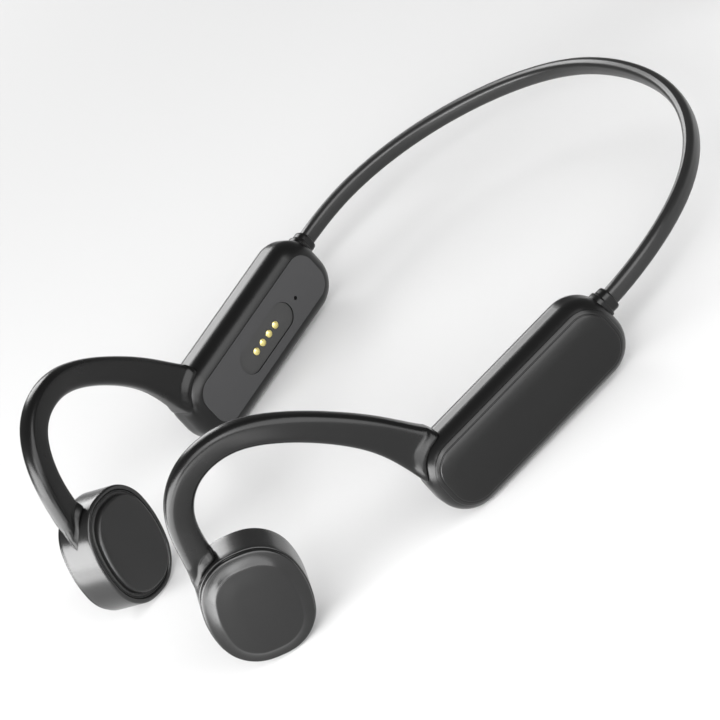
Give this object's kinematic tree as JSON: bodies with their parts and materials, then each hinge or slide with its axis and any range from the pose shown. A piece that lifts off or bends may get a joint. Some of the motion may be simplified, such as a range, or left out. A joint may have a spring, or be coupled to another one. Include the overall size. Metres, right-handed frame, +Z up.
{
  "type": "bone conduction headphones",
  "caption": "Wireless bone conduction headphones: neckband, battery pod and control pod behind the ears, ear hooks and cheekbone transducers.",
  "frame": {"origin": "on the plane of symmetry, halfway front to back, at the level of the table the transducers and pods rest on", "axes": "+X to the wearer's left, +Y to the back of the wearer's head, +Z up"},
  "size_m": [0.1252, 0.1517, 0.0466],
  "materials": {
    "neckband_silicone": "satin",
    "hook_silicone": "satin",
    "spring_wire": "satin",
    "cable_sheath": "matte",
    "collar_plastic": "satin",
    "pod_plastic": "satin",
    "cover_plastic": "satin",
    "gasket_rubber": "matte",
    "shell_plastic": "satin",
    "cap_plastic": "satin",
    "pad_silicone": "matte",
    "surround_rubber": "matte",
    "spring_steel": "satin",
    "coil_copper": "satin",
    "soft_iron": "satin",
    "magnet_nickel": "bright",
    "panel_plastic": "matte",
    "contact_gold": "bright",
    "button_plastic": "satin",
    "switch_case": "matte",
    "circuit_board": "satin",
    "chip_resin": "matte",
    "antenna_ceramic": "matte",
    "microphone_can": "satin",
    "battery_foil": "satin",
    "foam": "matte"
  },
  "bodies": {
    "headset": {"band_jacket": "neckband_silicone", "hook_sleeve_left": "hook_silicone", "hook_sleeve_right": "hook_silicone", "band_core": "spring_wire", "hook_core_left": "spring_wire", "hook_core_right": "spring_wire", "band_cable": "cable_sheath", "hook_cable_left": "cable_sheath", "hook_cable_right": "cable_sheath", "band_collar_left": "collar_plastic", "band_collar_right": "collar_plastic", "pod_body_left": "pod_plastic", "pod_body_right": "pod_plastic", "pod_cover_left": "cover_plastic", "pod_cover_right": "cover_plastic", "pod_gasket_left": "gasket_rubber", "pod_gasket_right": "gasket_rubber", "transducer_shell_left": "shell_plastic", "transducer_shell_right": "shell_plastic", "transducer_cap_left": "cap_plastic", "transducer_cap_right": "cap_plastic", "pad_surround_left": "surround_rubber", "pad_surround_right": "surround_rubber", "drive_spring_left": "spring_steel", "drive_spring_right": "spring_steel", "yoke_left": "soft_iron", "yoke_right": "soft_iron", "top_plate_left": "soft_iron", "top_plate_right": "soft_iron", "drive_magnet_left": "magnet_nickel", "drive_magnet_right": "magnet_nickel", "charge_magnets": "magnet_nickel", "charge_panel": "panel_plastic", "charge_contacts": "contact_gold", "switches": "switch_case", "main_board": "circuit_board", "switch_board": "circuit_board", "battery_guard": "circuit_board", "radio_chip": "chip_resin", "power_chip": "chip_resin", "antenna": "antenna_ceramic", "microphone": "microphone_can", "microphone_mesh": "microphone_can", "battery": "battery_foil", "battery_foam": "foam"},
    "button_volume_up": {"button_volume_up": "button_plastic"},
    "button_mode": {"button_mode": "button_plastic"},
    "button_volume_down": {"button_volume_down": "button_plastic"},
    "pad_left": {"contact_pad_left": "pad_silicone", "drive_plate_left": "spring_steel", "voice_coil_left": "coil_copper"},
    "pad_right": {"contact_pad_right": "pad_silicone", "drive_plate_right": "spring_steel", "voice_coil_right": "coil_copper"}
  },
  "joints": [
    {"name": "button_volume_up_press", "type": "slide", "parent": "headset", "child": "button_volume_up", "axis": [0.0054, -0.0292, 0.9996], "range_m": [0, 0.0003], "stiffness_N_per_m": 4000},
    {"name": "button_mode_press", "type": "slide", "parent": "headset", "child": "button_mode", "axis": [0.0054, -0.0292, 0.9996], "range_m": [0, 0.0003], "stiffness_N_per_m": 4000},
    {"name": "button_volume_down_press", "type": "slide", "parent": "headset", "child": "button_volume_down", "axis": [0.0054, -0.0292, 0.9996], "range_m": [0, 0.0003], "stiffness_N_per_m": 4000},
    {"name": "pad_left_vibration", "type": "slide", "parent": "headset", "child": "pad_left", "axis": [0.8949, -0.4462, 0], "range_m": [-0.00015, 0.00015], "stiffness_N_per_m": 6000},
    {"name": "pad_right_vibration", "type": "slide", "parent": "headset", "child": "pad_right", "axis": [-0.8949, -0.4462, 0], "range_m": [-0.00015, 0.00015], "stiffness_N_per_m": 6000}
  ]
}
